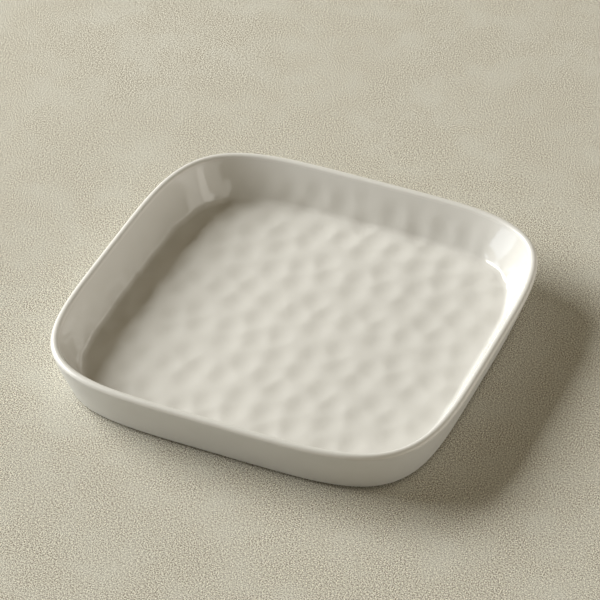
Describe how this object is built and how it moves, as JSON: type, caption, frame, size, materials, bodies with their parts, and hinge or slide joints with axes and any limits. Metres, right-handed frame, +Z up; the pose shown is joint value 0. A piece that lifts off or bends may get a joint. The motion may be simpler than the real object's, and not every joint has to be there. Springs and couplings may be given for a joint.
{
  "type": "dessert plate",
  "caption": "Square stoneware dessert plate with rounded corners, a hammered glossy well, a leaning wall with a rounded lip, and a low bare foot ring.",
  "frame": {"origin": "middle of the face that the plate stands on, under its foot ring", "axes": "+Z up out of the well; X and Y run along the plate's sides"},
  "size_m": [0.18, 0.18, 0.024],
  "materials": {
    "bare_clay": "unglazed fired stoneware, dry and slightly gritty",
    "gloss_glaze": "gloss, warm off-white",
    "satin_glaze": "satin, warm off-white"
  },
  "bodies": {
    "root": {"clay_body": "bare_clay", "foot_ring": "bare_clay", "inner_glaze": "gloss_glaze", "outer_glaze": "satin_glaze", "base_glaze": "satin_glaze"}
  },
  "joints": []
}
